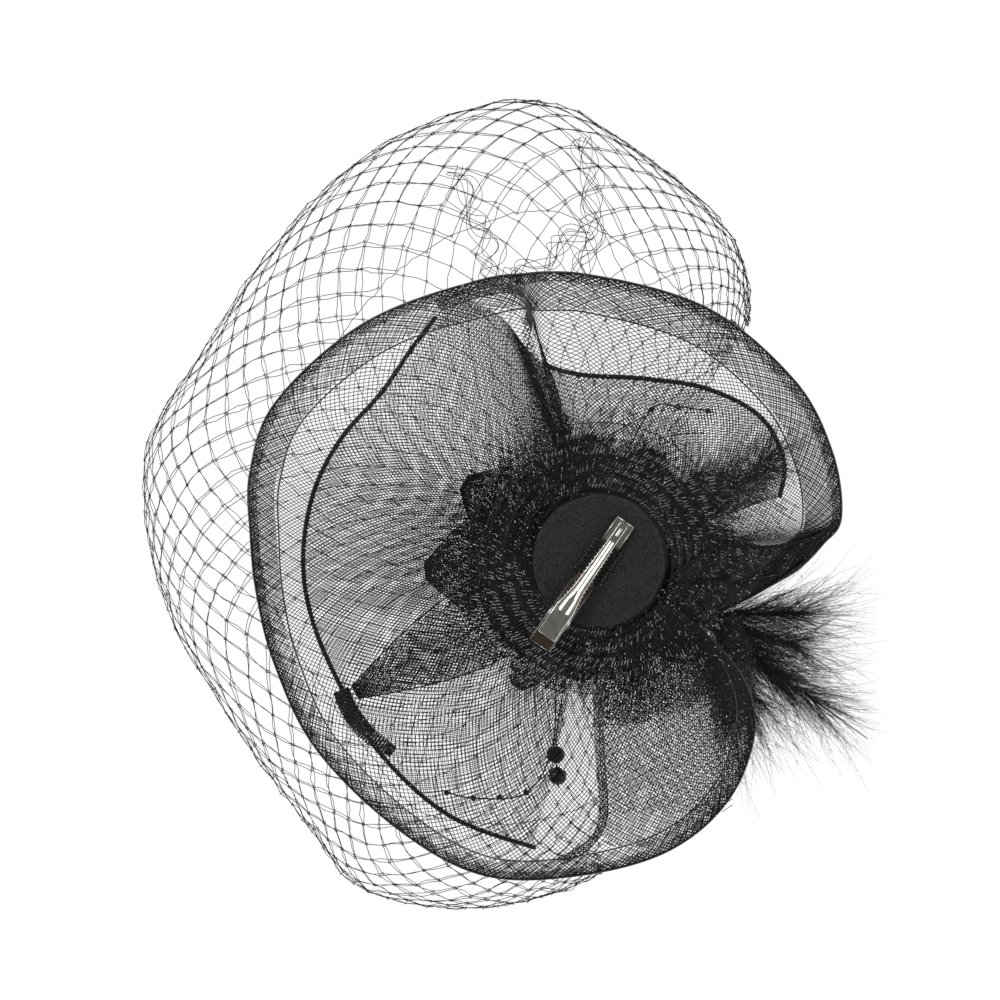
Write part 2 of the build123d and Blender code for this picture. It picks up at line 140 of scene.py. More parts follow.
def fibre(name, dark, light, rough, patch=60.0, painted_glints=0.0, sheen=0.0, grain=2500.0, shine=0.3):
    """Dyed thread: slow tone changes, and small painted glints, bright specks added to the colour where
    nylon would catch the light.
    """
    material, nodes, links, shader = new_material(name)
    tone = noise(nodes, links, patch)
    colour = ramp(nodes, links, tone, [(0.3, grey(dark)), (0.7, grey(light))])
    # painted highlight: bright specks added to the base colour stand in for glints of light on the nylon
    if painted_glints:
        glint = ramp(nodes, links, noise(nodes, links, GLINT_SCALE, 1.0),
                     [(GLINT_FROM, (0, 0, 0)), (GLINT_FROM + GLINT_EDGE, grey(painted_glints))])
        add = nodes.new("ShaderNodeMix")
        add.data_type = "RGBA"
        add.blend_type = "ADD"
        add.inputs["Factor"].default_value = 1.0
        links.new(colour, add.inputs["A"])
        links.new(glint, add.inputs["B"])
        colour = add.outputs["Result"]
    links.new(colour, shader.inputs["Base Color"])
    fine = noise(nodes, links, grain)
    uneven = stretched(nodes, links, fine, rough - FIBRE_UNEVEN, rough + FIBRE_UNEVEN)
    links.new(uneven, shader.inputs["Roughness"])
    shader.inputs["Specular IOR Level"].default_value = shine
    shader.inputs["Sheen Weight"].default_value = sheen
    shader.inputs["Sheen Roughness"].default_value = 0.5
    bump(nodes, links, shader, fine, 0.25, 0.0001)
    return material


def metal(name, cool, warm, rough):
    """Bright plating with faint drawing lines and uneven polish."""
    material, nodes, links, shader = new_material(name)
    tone = noise(nodes, links, 140.0, 2.0)
    links.new(ramp(nodes, links, tone, [(0.35, cool), (0.65, warm)]), shader.inputs["Base Color"])
    shader.inputs["Metallic"].default_value = 1.0
    lines = noise(nodes, links, 900.0, 4.0, DRAWN)
    links.new(stretched(nodes, links, lines, rough * 0.6, rough * 1.6), shader.inputs["Roughness"])
    bump(nodes, links, shader, lines, 0.12, 0.0002)
    return material


# crinoline, hem and petal nylon carry painted glints in their colour
crinoline = fibre("crinoline_nylon", 0.006, 0.014, 0.32, painted_glints=0.9)
crinoline_hem = fibre("crinoline_hem_nylon", 0.024, 0.040, 0.34, painted_glints=0.5, shine=0.4)
petal_nylon = fibre("petal_nylon", 0.003, 0.008, 0.4, painted_glints=0.4, shine=0.2)
net_thread = fibre("net_thread", 0.008, 0.018, 0.5, patch=40.0)
cord_thread = fibre("cord_thread", 0.003, 0.010, 0.42, sheen=0.08, shine=0.25)
wire_lacquer = fibre("wire_lacquer", 0.008, 0.016, 0.25, grain=900.0, shine=0.5)
felt_wool = fibre("felt_wool", 0.004, 0.030, 0.95, patch=1300.0, sheen=0.1, grain=1400.0)
buckram_cloth = fibre("buckram_cloth", 0.01, 0.02, 0.8, patch=300.0)
ribbon_cloth = fibre("ribbon_cloth", 0.005, 0.012, 0.45, patch=300.0, sheen=0.12)
down = fibre("down", 0.005, 0.012, 0.6, patch=90.0, sheen=0.05, shine=0.2)
quill_horn = fibre("quill_horn", 0.01, 0.025, 0.35, patch=200.0, shine=0.5)
jet = fibre("jet_glass", 0.004, 0.008, 0.12, patch=300.0, grain=300.0, shine=0.5)
# painted highlight: pale thread for the dashes round the gathers, which stand in for glints of light on the
# nylon
glint_dash_nylon = fibre("glint_dash_nylon", 0.10, 0.62, 0.3, patch=500.0, shine=0.5)
clip_plate = metal("clip_plate", (0.38, 0.39, 0.36), (0.50, 0.47, 0.41), 0.26)
clip_box = metal("clip_box", (0.10, 0.075, 0.055), (0.30, 0.24, 0.18), 0.22)
# painted highlight: a lighter copy of the clip plating, for the rolled edges, teeth and pin, so that they
# read as lit lines
edge_highlight_plate = metal("edge_highlight_plate", (0.66, 0.66, 0.63), (0.74, 0.71, 0.65), 0.32)
spring_wire = metal("spring_wire", (0.42, 0.42, 0.42), (0.5, 0.48, 0.45), 0.28)


# ---- mesh helpers ----
def mesh_piece(name, points, loops, sizes, material, smooth=True):
    """Mesh object from flat arrays: points in millimetres, face corners, and corners per face."""
    mesh = bpy.data.meshes.new(name)
    mesh.vertices.add(len(points))
    mesh.vertices.foreach_set("co", (np.asarray(points, np.float32) * MM).ravel())
    mesh.loops.add(len(loops))
    mesh.loops.foreach_set("vertex_index", np.asarray(loops, np.int32))
    mesh.polygons.add(len(sizes))
    starts = np.concatenate([[0], np.cumsum(sizes)[:-1]]).astype(np.int32)
    mesh.polygons.foreach_set("loop_start", starts)
    mesh.polygons.foreach_set("use_smooth", np.full(len(sizes), smooth))
    mesh.update(calc_edges=True)
    mesh.validate()
    mesh.materials.append(material)
    piece = bpy.data.objects.new(name, mesh)
    scene.collection.objects.link(piece)
    return piece


def face_piece(name, points, faces, material, smooth=True):
    """Mesh object from a list of faces, each a list of its corners."""
    corners = [corner for face in faces for corner in face]
    return mesh_piece(name, points, corners, [len(face) for face in faces], material, smooth)


def ring_quads(rings, sides, base=0):
    """Faces between rings that have the same number of points."""
    faces = []
    for i in range(rings - 1):
        for j in range(sides):
            a, b = base + i * sides + j, base + i * sides + (j + 1) % sides
            faces.append([a, b, b + sides, a + sides])
    return faces


def tube_arrays(lines, radius, sides):
    """Closed tubes along lines of points. radius is a number, or a list with one array a line."""
    points, loops, sizes = [], [], []
    base = 0
    around = np.arange(sides) * (FULL / sides)
    for k, line in enumerate(lines):
        line = np.asarray(line, float)
        count = len(line)
        if count < 2:
            continue
        along = np.gradient(line, axis=0)
        along /= np.linalg.norm(along, axis=1)[:, None] + 1e-12
        side = np.cross(along, (0.13, 0.21, 0.97))
        side /= np.linalg.norm(side, axis=1)[:, None] + 1e-12
        up = np.cross(side, along)
        r = radius[k] if isinstance(radius, list) else radius
        r = np.broadcast_to(np.asarray(r, float), (count,))[:, None, None]
        ring = np.cos(around)[None, :, None] * side[:, None] + np.sin(around)[None, :, None] * up[:, None]
        points.append((line[:, None] + ring * r).reshape(-1, 3))
        i = np.arange(count - 1)[:, None] * sides
        j = np.arange(sides)[None]
        n = (j + 1) % sides
        quads = np.stack([i + j, i + sides + j, i + sides + n, i + n], axis=-1).reshape(-1) + base
        first = np.arange(sides) + base
        last = first[::-1] + (count - 1) * sides
        loops.append(np.concatenate([quads, first, last]))
        sizes.append(np.concatenate([np.full((count - 1) * sides, 4), [sides, sides]]))
        base += count * sides
    return np.concatenate(points), np.concatenate(loops), np.concatenate(sizes)


def tubes(name, lines, radius, material, nodes=(), body=HEAD, sides=3):
    """One piece made of many threads, riding on a body and standing for its CAD nodes."""
    piece = mesh_piece(name, *tube_arrays(lines, radius, sides), material)
    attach(piece, body)
    if nodes:
        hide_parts(*nodes)
    return piece


def curve_through(points, place):
    """Catmull-Rom curve through points, at places counted in points from the first."""
    first = np.minimum(place.astype(int), len(points) - 2)
    t = (place - first)[:, None]
    a, b, c, d = [points[np.clip(first + k, 0, len(points) - 1)] for k in (-1, 0, 1, 2)]
    return (a * (-0.5 * t + t * t - 0.5 * t ** 3) + b * (1 - 2.5 * t * t + 1.5 * t ** 3)
            + c * (0.5 * t + 2 * t * t - 1.5 * t ** 3) + d * (-0.5 * t * t + 0.5 * t ** 3))


def smooth_line(points, count):
    points = np.asarray(points, float)
    return curve_through(points, np.linspace(0, len(points) - 1, count))


def sideways(line):
    """Level directions at right angles to a line, one for each of its points."""
    ahead = np.gradient(line, axis=0)
    return np.cross(ahead / np.linalg.norm(ahead, axis=1)[:, None], (0, 0, 1.0))


# ---- shape of the cloth, as in the CAD model ----
INNER_R = 13.0
BASE_Z = 5.0
LOWER_EDGE = [
    (23, 48), (11, 60), (3, 73), (-4, 83), (-10, 91), (-25, 95), (-43, 98), (-68, 101),
    (-97, 107), (-114, 112), (-135, 123), (-154, 133), (-166, 133), (-176, 129), (-186, 127),
    (-198, 126), (-214, 126), (-234, 125), (-250, 126), (-265, 119), (-283, 112), (-298, 102),
    (-312, 86), (-321, 68), (-327, 43),
]
UPPER_EDGE = [
    (-19, 71), (-28, 78), (-41, 80), (-57, 75), (-75, 69), (-97, 69), (-107, 78), (-112, 98),
    (-119, 109), (-129, 105), (-142, 101), (-155, 105), (-167, 108), (-180, 109), (-192, 108),
    (-206, 106), (-222, 108), (-240, 110), (-258, 110),
]
VEIL_EDGE = [
    (-57, 106), (-62, 121), (-70, 136), (-83, 153), (-97, 174), (-112, 176), (-126, 173),
    (-140, 168), (-153, 168), (-166, 175), (-178, 169), (-190, 161), (-208, 150), (-222, 149),
    (-235, 154), (-250, 142), (-262, 130), (-271, 120),
]
VEIL_SWELL = 16.0
VEIL_TURN = 132.0
PETALS = [
    (176, 64, 48), (-150, 57, 42), (-95, 46, 38), (140, 48, 38),
    (-60, 46, 40), (20, 46, 40), (100, 46, 40), (60, 42, 34),
]
BOW_LOOPS = [(151, 103, 30), (122, 56, 26)]
ROOT_Z = 16.0
ROOT_STEP = 2.6
PETAL_INNER_R = 9.0


def polar(angle, radius):
    turn = np.radians(angle)
    return radius * np.cos(turn), radius * np.sin(turn)


def bearing(x, y):
    return np.degrees(np.arctan2(y, x))


def edge_angle(edge, u):
    return edge[0][0] + (edge[-1][0] - edge[0][0]) * u


def edge_curve(edge, u):
    """Points of an edge given as (angle, radius), at u from 0 to 1."""
    corners = np.array([polar(a, r) for a, r in edge])
    both = curve_through(corners, np.clip(u, 0, 1) * (len(edge) - 1))
    return both[:, 0], both[:, 1]


def reach_of(angle):
    """How far the brim reaches, near enough, towards an angle."""
    return 114 + 16 * np.cos(np.radians(angle - 170))


def brim_height(angle, radius):
    swing = np.cos(np.radians(angle + 57))
    return BASE_Z + (23 - 11 * swing) * (radius / reach_of(angle)) ** (3.5 - 2 * swing)


def strip_point(edge, u, s):
    """Plan position on a gathered strip, with its angle and radius."""
    angle = edge_angle(edge, u)
    inner_x, inner_y = polar(angle, INNER_R)
    outer_x, outer_y = edge_curve(edge, u)
    x = inner_x + (outer_x - inner_x) * s
    y = inner_y + (outer_y - inner_y) * s
    return x, y, bearing(x, y), np.hypot(x, y)


def lower_span(u):
    """Depth of the lower brim from the core to its edge, in plan."""
    return np.hypot(*edge_curve(LOWER_EDGE, u)) - INNER_R


RING_PITCH = 3.1             # ridges round the pad, where the braid is drawn up
RING_HEIGHT = 0.8
FOLD_AT = -105.0             # angle of the sharp fold at the front
FOLD_HALF = 10.0


def lower_point(u, s):
    """The lower brim, with gather ridges round the pad and the pinched fold at the front."""
    x, y, angle, radius = strip_point(LOWER_EDGE, u, s)
    z = brim_height(angle, radius)
    z = z + RING_HEIGHT * np.exp(-((radius - 20) / 22) ** 2) * np.sin(FULL * radius / RING_PITCH)
    across = (angle - FOLD_AT) / FOLD_HALF
    near = np.exp(-across ** 2 * 1.6)
    grip = np.clip((radius - 40) / 20, 0, 1)
    lap = 1.9 * np.clip((118 - radius) / 60, 0.15, 1)
    turned = angle - lap * FOLD_HALF * 0.33 * np.sin(math.pi * np.clip(across, -1, 1)) * grip
    radius = radius - 0.6 * np.clip((radius - 80) / 25, 0, 1.2) * np.exp(-(across * 2.2) ** 2)
    z = z + 5.0 * grip * near * np.sin(math.pi * np.clip(across * 0.5 + 0.5, 0, 1))
    z = z + 1.3 * np.sin(np.radians(angle * 7 + 40)) * np.clip((radius - 50) / 60, 0, 1)
    x, y = polar(turned, radius)
    return np.stack([x, y, z], axis=-1)


def upper_point(u, s):
    x, y, angle, radius = strip_point(UPPER_EDGE, u, s)
    z = brim_height(angle, radius) + 2 + 8 * (radius - INNER_R) / 90
    z = z + 1.0 * np.sin(np.radians(angle * 9)) * np.clip((radius - 40) / 60, 0, 1)
    return np.stack([x, y, z], axis=-1)


def hem_start(u):
    """Where the hem begins: it keeps its width along the cloth, however steep that is."""
    angle = edge_angle(LOWER_EDGE, u)
    swing = np.cos(np.radians(angle + 57))
    slope = (23 - 11 * swing) * (3.5 - 2 * swing) / reach_of(angle)
    span = lower_span(u)
    return 1 - np.minimum(14.5 / np.hypot(1, slope), 0.3 * span) / span


def kept_runs(line, keep):
    """The stretches of a line that are kept and are at least two points long."""
    edges = np.flatnonzero(np.diff(np.concatenate([[0], keep.astype(int), [0]])))
    return [line[a:b] for a, b in zip(edges[::2], edges[1::2]) if b - a >= 2]


def braid(surface, width, depth, pitch, keep=None, step=2.2, sway=0.0):
    """Diagonal braid on surface(u, s). width and depth are the cloth's cut size in millimetres.
    keep(u, s) says which points are cloth; each run of kept points becomes a thread."""
    lines = []
    spacing = pitch * math.sqrt(2)
    for slant in (1, -1):
        for start in np.arange(-depth, width + depth, spacing):
            start = start + rng.normal(0, 0.06 * pitch)
            v = np.arange(0, depth + step, step).clip(0, depth)
            w = start + slant * v + sway * np.sin(v / 9 + start)
            on_cloth = (w >= 0) & (w <= width)
            if on_cloth.sum() < 2:
                continue
            u, s = w[on_cloth] / width, v[on_cloth] / depth
            line = surface(u, s)
            line[:, 2] += slant * 0.12
            lines += kept_runs(line, np.ones(len(u), bool) if keep is None else keep(u, s))
    return lines


def edge_line(surface, s, count):
    """A line along a surface at one s, or at s(u)."""
    u = np.linspace(0.0, 1.0, count)
    return surface(u, np.full(count, s) if np.isscalar(s) else s(u))


def inside(polygon, x, y):
    """Which points of a plan lie inside a polygon."""
    found = np.zeros(len(x), bool)
    for (ax, ay), (bx, by) in zip(polygon, polygon[1:] + polygon[:1]):
        crosses = (ay > y) != (by > y)
        found ^= crosses & (x < (bx - ax) * (y - ay) / (by - ay + 1e-12) + ax)
    return found


def on_brim(points, lift):
    """Plan points raised to a height above or below the lower brim."""
    points = np.asarray(points, float)
    x, y = points[:, 0], points[:, 1]
    return np.column_stack([points, brim_height(bearing(x, y), np.hypot(x, y)) + lift])


def patch(polygon, lift, pitch, slant, fray=0.0):
    """Crossed threads over a plan outline, lying at a height above or below the lower brim."""
    corners = np.array(polygon, float)
    middle = corners.mean(axis=0)
    half = np.hypot(*(corners - middle).T).max() + 2
    lines = []
    for turn in (slant, slant + 90):
        way = np.array(polar(turn, 1.0))
        side = np.array([-way[1], way[0]])
        for offset in np.arange(-half, half, pitch):
            along = np.arange(-half, half, 1.2)[:, None] * way
            place = middle + along + side * (offset + rng.normal(0, 0.1 * pitch))
            place = place + side * 0.5 * np.sin(along[:, :1] / 7)
            keep = inside(polygon, place[:, 0] + rng.normal(0, fray + 1e-6), place[:, 1])
            line = on_brim(place, lift)
            line[:, 2] += 0.7 * np.sin(place @ side * 0.9)
            lines += kept_runs(line, keep)
    return lines


# ---- brims ----
LOWER_CUT = (720.0, 112.0)
UPPER_CUT = (560.0, 92.0)
ROPE_HIDDEN = (-123.5, -105.5)    # the cord stops where the layer turns under the front fold
THREAD_R = 0.16
EDGE_ROLL = 4.0              # the hem is densest this close to its edge
HEM_LIFT = 1.1


def cloth(name, lines, node="lower_brim", nylon=crinoline, radius=THREAD_R, sides=3):
    """A piece made of crinoline threads."""
    return tubes(name, lines, radius, nylon, [node], sides=sides)


def lower_brim():
    """The brim's net, its doubled hem and the wired edge."""
    halves = [("lower_brim_front", lambda u, s: u <= 0.5), ("lower_brim_back", lambda u, s: u > 0.497)]
    for name, part in halves:
        cloth(name, braid(lower_point, *LOWER_CUT, 1.36, keep=part))

    def hem_layer(u, s):
        line = lower_point(u, s)
        line[:, 2] += HEM_LIFT
        return line

    lines = braid(hem_layer, *LOWER_CUT, 0.97, keep=lambda u, s: s >= hem_start(u), step=1.6)
    cloth("brim_hem_layer", lines, "brim_hem", crinoline_hem)

    def near_edge(u, s):
        return (1 - s) * lower_span(u) < EDGE_ROLL + rng.normal(0, 0.5)

    lines = braid(lambda u, s: hem_layer(u, s) + (0, 0, 0.6), *LOWER_CUT, 1.15, keep=near_edge, step=1.1)
    for back in (0.4, 0.9, 1.5, 2.2, 3.0):
        span = lower_span(np.linspace(0, 1, 600))
        lines.append(edge_line(hem_layer, lambda u: 1 - back / span, 600) + rng.normal(0, 0.06, (600, 3)))
    cloth("brim_edge_roll", lines, "brim_hem", crinoline_hem)
    seam = edge_line(lower_point, hem_start, 500)
    cloth("brim_hem_seam", [seam, seam + (0, 0, 1.0)], "brim_hem", crinoline_hem, 0.28, 5)
    rim = edge_line(lower_point, 1.0, 700)
    tubes("brim_edge_wire", [rim + (0, 0, 0.5)], 0.45, crinoline_hem, ["brim_wire"], sides=10)


GATHER_R = 45.0              # the braid is drawn up into rings as far out as this
FIRST_RING = 25.5
SLIT_FOLD = [(26, 6.5), (40.8, -3.3), (52.4, -5.5), (61.9, -4.4), (78.3, -7.6), (88, -14)]
SLIT_PLEAT = [(26, 7.5), (40, 7.2), (52.4, 6.9), (67.3, 4.7)]
SLIT_EDGE = [(88, -14), (78.3, -1.5), (68.1, 5.8), (58.2, 12), (45.1, 18.6), (37.1, 23.3), (27, 14)]
GUSSET = [(20, 6), (45, 16.5), (42, 24), (37, 29), (20, 19)]
UNDER_RUFFLE = [(24, 12), (38, 22), (50, 19), (57, 30), (59, 50), (54, 60), (47, 50), (35, 28)]
# painted shade: outline of a frayed sheet of extra thread where the brim beside the slit lies in shade
SLIT_SHADE = [(42, -24), (58, -26), (72, -20), (70, -9), (44, -5)]
FRONT_FOLD = [(-28.4, -90), (-26.6, -69), (-24, -43), (-8, -48), (-15.3, -60.4), (-19.7, -69.2),
              (-22.9, -77.9), (-25.8, -90)]
FOLD_LIP = [(-60, -95.5), (-47, -100), (-36, -102), (-29.5, -100.3), (-26.6, -96.1), (-26.4, -88)]
LOBE = [(0, 20), (0, 50), (0.4, 72), (1.8, 94), (2, 106), (25, 108), (44, 94), (53, 72), (51, 50),
        (38, 27)]
BAND_HALF = 1.5
LOBE_FOLD = [(-0.7, 47), (0.4, 72), (1.8, 94), (-3.3, 105), (-14, 112)]


def gathers():
    """Where the braid is drawn up round the pad: doubled layers, rings of puckered thread, and pale dashes
    along the rings that are painted glints.
    """
    for number, (lift, limit, pitch) in enumerate([(-0.5, GATHER_R, 1.2), (1.2, GATHER_R + 5, 1.3)], 1):
        def drawn_up(u, s):
            place = lower_point(u, s)
            return np.hypot(place[:, 0], place[:, 1]) < limit + rng.normal(0, 5)

        def surface(u, s):
            return lower_point(u, s) + (0, 0, lift)

        cloth(f"brim_gathers_{number}", braid(surface, *LOWER_CUT, pitch, keep=drawn_up, step=1.5))
    rings, glint_dashes = [], []
    radius = FIRST_RING
    while radius < GATHER_R + 6:
        fade = max(0.0, 1 - (radius - FIRST_RING) / 34)
        steps = np.arange(-322, 21, 1.5)
        t = np.radians(steps)
        wobble = radius * (1 + 0.02 * np.sin(3 * t + radius) + 0.012 * np.sin(5 * t))
        ring = on_brim(np.column_stack([wobble * np.cos(t), wobble * np.sin(t)]), -0.5)
        for shift in (-0.3, 0.3):
            line = ring * (1 + shift / radius, 1 + shift / radius, 1) + rng.normal(0, 0.1, ring.shape)
            begin = int(rng.uniform(0, 40 + 90 * (1 - fade)))
            end = len(line) - int(rng.uniform(0, 40 + 90 * (1 - fade)))
            rings.append(line[begin:end])
        # Painted highlights: short pale dashes just off each ring stand in for glints of light on the
        # puckered nylon; bright sets where round the ring they are thickest, as the light falls.
        turn = -322.0
        while turn < 18:
            turn += math.degrees(1.15 / radius) * rng.uniform(0.85, 1.15)
            bright = 0.62 + 0.38 * math.sin(math.radians(2 * turn + 190) + 0.8 * math.sin(radius))
            if rng.uniform() > (0.15 + 0.85 * bright) * (0.25 + 0.75 * fade):
                continue
            near = radius * (1 + 0.02 * math.sin(3 * math.radians(turn) + radius))
            near = near + 0.55 + rng.normal(0, 0.12)
            length = rng.uniform(1.0, 2.1)
            lean = math.degrees(0.45 * length / near)
            glint_dashes.append(on_brim([polar(turn, near), polar(turn + lean, near + length)],
                                  -0.9 + rng.normal(0, 0.1)))
        radius += RING_PITCH
    cloth("brim_gather_rings", rings, radius=0.17, sides=4)
    cloth("brim_gather_glints", glint_dashes, nylon=glint_dash_nylon, radius=0.13)


SLIT_TURNED = SLIT_FOLD + SLIT_EDGE
SLIT_UPPER = SLIT_FOLD + [(84, -7), (67.3, 4.7), (52.4, 6.9), (40, 7.2)]
# Cloth that is turned under or doubled, and a frayed sheet of painted shade beside the slit: the piece and
# its node, then each layer's outline, height, pitch, slant and fraying.
LAYERS = [
    ("slit_turned_hem", "lower_brim", [
        (SLIT_TURNED, -0.8, 1.0, 35), (SLIT_TURNED, 1.4, 1.1, 10),
        (SLIT_UPPER, 0.6, 0.9, 50), (SLIT_UPPER, 2.2, 0.9, 20, 0.8)]),
    ("slit_gusset", "lower_brim", [
        (GUSSET, lift, 0.95, slant, 0.5) for lift, slant in ((0.2, 20), (1.6, 60), (2.8, 0), (4.0, 35))]),
    ("slit_under_ruffle_and_shade", "upper_brim", [
        # painted shade: the frayed SLIT_SHADE layer is extra thread put where the brim beside the slit lies
        # in shade
        (UNDER_RUFFLE, 7.0, 1.3, 25), (UNDER_RUFFLE, 9.0, 1.3, 65, 0.8), (SLIT_SHADE, 6.0, 1.25, 30, 3.0)]),
    ("front_fold_layers", "lower_brim", [(FRONT_FOLD, -1.2, 1.5, 60), (FRONT_FOLD, 1.4, 1.6, 20, 0.4)]),
]


def folds():
    """Cloth turned under along the slit, the gusset that closes it, a sheet of painted shade beside the
    slit, and the doubled lobe beside it.
    """
    for name, node, layers in LAYERS:
        cloth(name, [line for layer in layers for line in patch(*layer)], node)
    lip = smooth_line(on_brim(FOLD_LIP, -0.8), 80)
    lips = [lip + (0.25 * k, 0.45 * k, 0.1 * k) + rng.normal(0, 0.08, 3) for k in range(9)]
    cloth("front_fold_lip", lips, "brim_hem", crinoline_hem, 0.2, 5)
    near = [(x, y) for x, y in LOBE if y < 100]
    dark = [(0, 20), (0, 62), (14, 60), (34, 54), (50, 44), (38, 27)]
    lines = patch(LOBE, 1.6, 1.0, 28, 0.6) + patch(near, 3.0, 2.4, 60, 3.0)
    lines += patch(dark, 2.4, 1.1, 5, 4.0) + patch(dark, 3.6, 1.2, 48, 6.0)
    cloth("lobe_lining", lines)
    edges = []
    for route, lift in ((SLIT_FOLD, -1.4), (SLIT_PLEAT, -1.6), (SLIT_EDGE[1:], -1.0)):
        line = smooth_line(on_brim(route, lift), 60)
        edges += [line + rng.normal(0, 0.3, 3) for _ in range(4)]
    cloth("slit_fold_edges", edges, nylon=petal_nylon, radius=0.24, sides=5)
    centre = smooth_line(on_brim(LOBE_FOLD, -0.5), 90)
    side = sideways(centre)
    band = []
    for offset in np.linspace(-BAND_HALF, BAND_HALF, 7):
        band.append(centre + side * (offset + 0.15 * rng.normal()))
    for k in range(0, 84, 2):
        for half in (BAND_HALF, -BAND_HALF):
            band.append(np.array([centre[k] + side[k] * half, centre[k + 5] - side[k + 5] * half]))
    cloth("lobe_fold_band", band, nylon=crinoline_hem)
    cloth("lobe_fold_seam", [centre + side * 1.9], nylon=crinoline_hem, radius=0.2, sides=5)


def rope(name, line, radius, pitch, material, nodes):
    """Three strands laid round a line."""
    lengths = np.concatenate([[0], np.cumsum(np.linalg.norm(np.diff(line, axis=0), axis=1))])
    count = int(lengths[-1] / 0.8)
    even = np.linspace(0, lengths[-1], count)
    core = np.stack([np.interp(even, lengths, line[:, k]) for k in range(3)], axis=-1)
    along = np.gradient(core, axis=0)
    along /= np.linalg.norm(along, axis=1)[:, None]
    side = np.cross(along, (0, 0, 1.0))
    side /= np.linalg.norm(side, axis=1)[:, None]
    up = np.cross(side, along)
    strands = []
    for k in range(3):
        turn = (FULL * (even / pitch + k / 3))[:, None]
        strands.append(core + (np.cos(turn) * side + np.sin(turn) * up) * radius * 0.5)
    return tubes(name, strands, radius * 0.56, material, nodes, sides=7)


def upper_brim():
    """The smaller layer above the brim, and the cord along its edge."""
    cloth("upper_brim_cloth", braid(upper_point, *UPPER_CUT, 1.5), "upper_brim")
    line = edge_line(upper_point, 1.0, 600)
    around = bearing(line[:, 0], line[:, 1])
    under = np.flatnonzero((around > ROPE_HIDDEN[0]) & (around < ROPE_HIDDEN[1]))
    runs = [line[:under[0]], line[under[-1] + 1:]]
    for number, run in enumerate(runs, 1):
        rope(f"upper_brim_rope_{number}", run, 0.95, 4.2, cord_thread, ["upper_brim_cord"])


RIBS = 34


def ribbon_tail():
    """Ribbed ribbon end: a curled wedge with cords across it, wide at its cut end."""
    low, high = node_box("ribbon_tail")
    z = (low[2] + high[2]) / 2
    centre = smooth_line([(-95, 49, z), (-91.5, 57, z - 0.6), (-85, 65, z), (-76, 71.5, z + 0.4)], RIBS)
    ribs = []
    for point, way, t in zip(centre, sideways(centre), np.linspace(0, 1, RIBS)):
        half = 2.4 + 1.3 * math.sin(2.2 * t + 0.3) - 1.2 * t
        side = np.linspace(-1, 1, 7)[:, None]
        ribs.append(point + way * half * side + (0, 0, 1.3) * (side ** 2))
    tubes("ribbon_tail_ribs", ribs, 0.5, ribbon_cloth, ["ribbon_tail"], sides=6)


# ---- veil ----
VEIL_CREASES = [             # where the net is gathered into crumpled folds near the front
    [(-54, -146, 66), (-46, -130, 64), (-40, -115, 62), (-41, -103, 60)],
    [(-6, -158, 66), (-2, -140, 66), (-2, -122, 64), (-6, -106, 60)],
    [(-4, -124, 64), (-14, -116, 62), (-26, -107, 60), (-36, -103, 58)],
]
VEIL_ACROSS = 46             # cells across and along the net
VEIL_ALONG = 19
KNOT = 0.65                  # half the width of a knot's diamond
LONGEST_THREAD = 26.0
CREASE_STRANDS = 7


def veil_point(u, s):
    """The net leaves the core, lies over the brim, bellies out and curls back in."""
    turn = np.radians(VEIL_TURN * s)
    angle = edge_angle(VEIL_EDGE, u)
    inner_x, inner_y = polar(angle, INNER_R)
    outer_x, outer_y = edge_curve(VEIL_EDGE, u)
    x = inner_x + (outer_x - inner_x) * np.sin(turn)
    y = inner_y + (outer_y - inner_y) * np.sin(turn)
    out = np.minimum(turn, math.pi / 2)
    way = bearing(x, y)
    radius = INNER_R + (np.hypot(outer_x, outer_y) - INNER_R) * np.sin(out)
    rest = np.minimum(radius, 0.97 * reach_of(way))
    over = 4.5 + 14 * np.minimum(radius / 100, 1)
    z = brim_height(way, rest) + over + VEIL_SWELL * (1 - np.cos(turn))
    return np.stack([x, y, z], axis=-1)


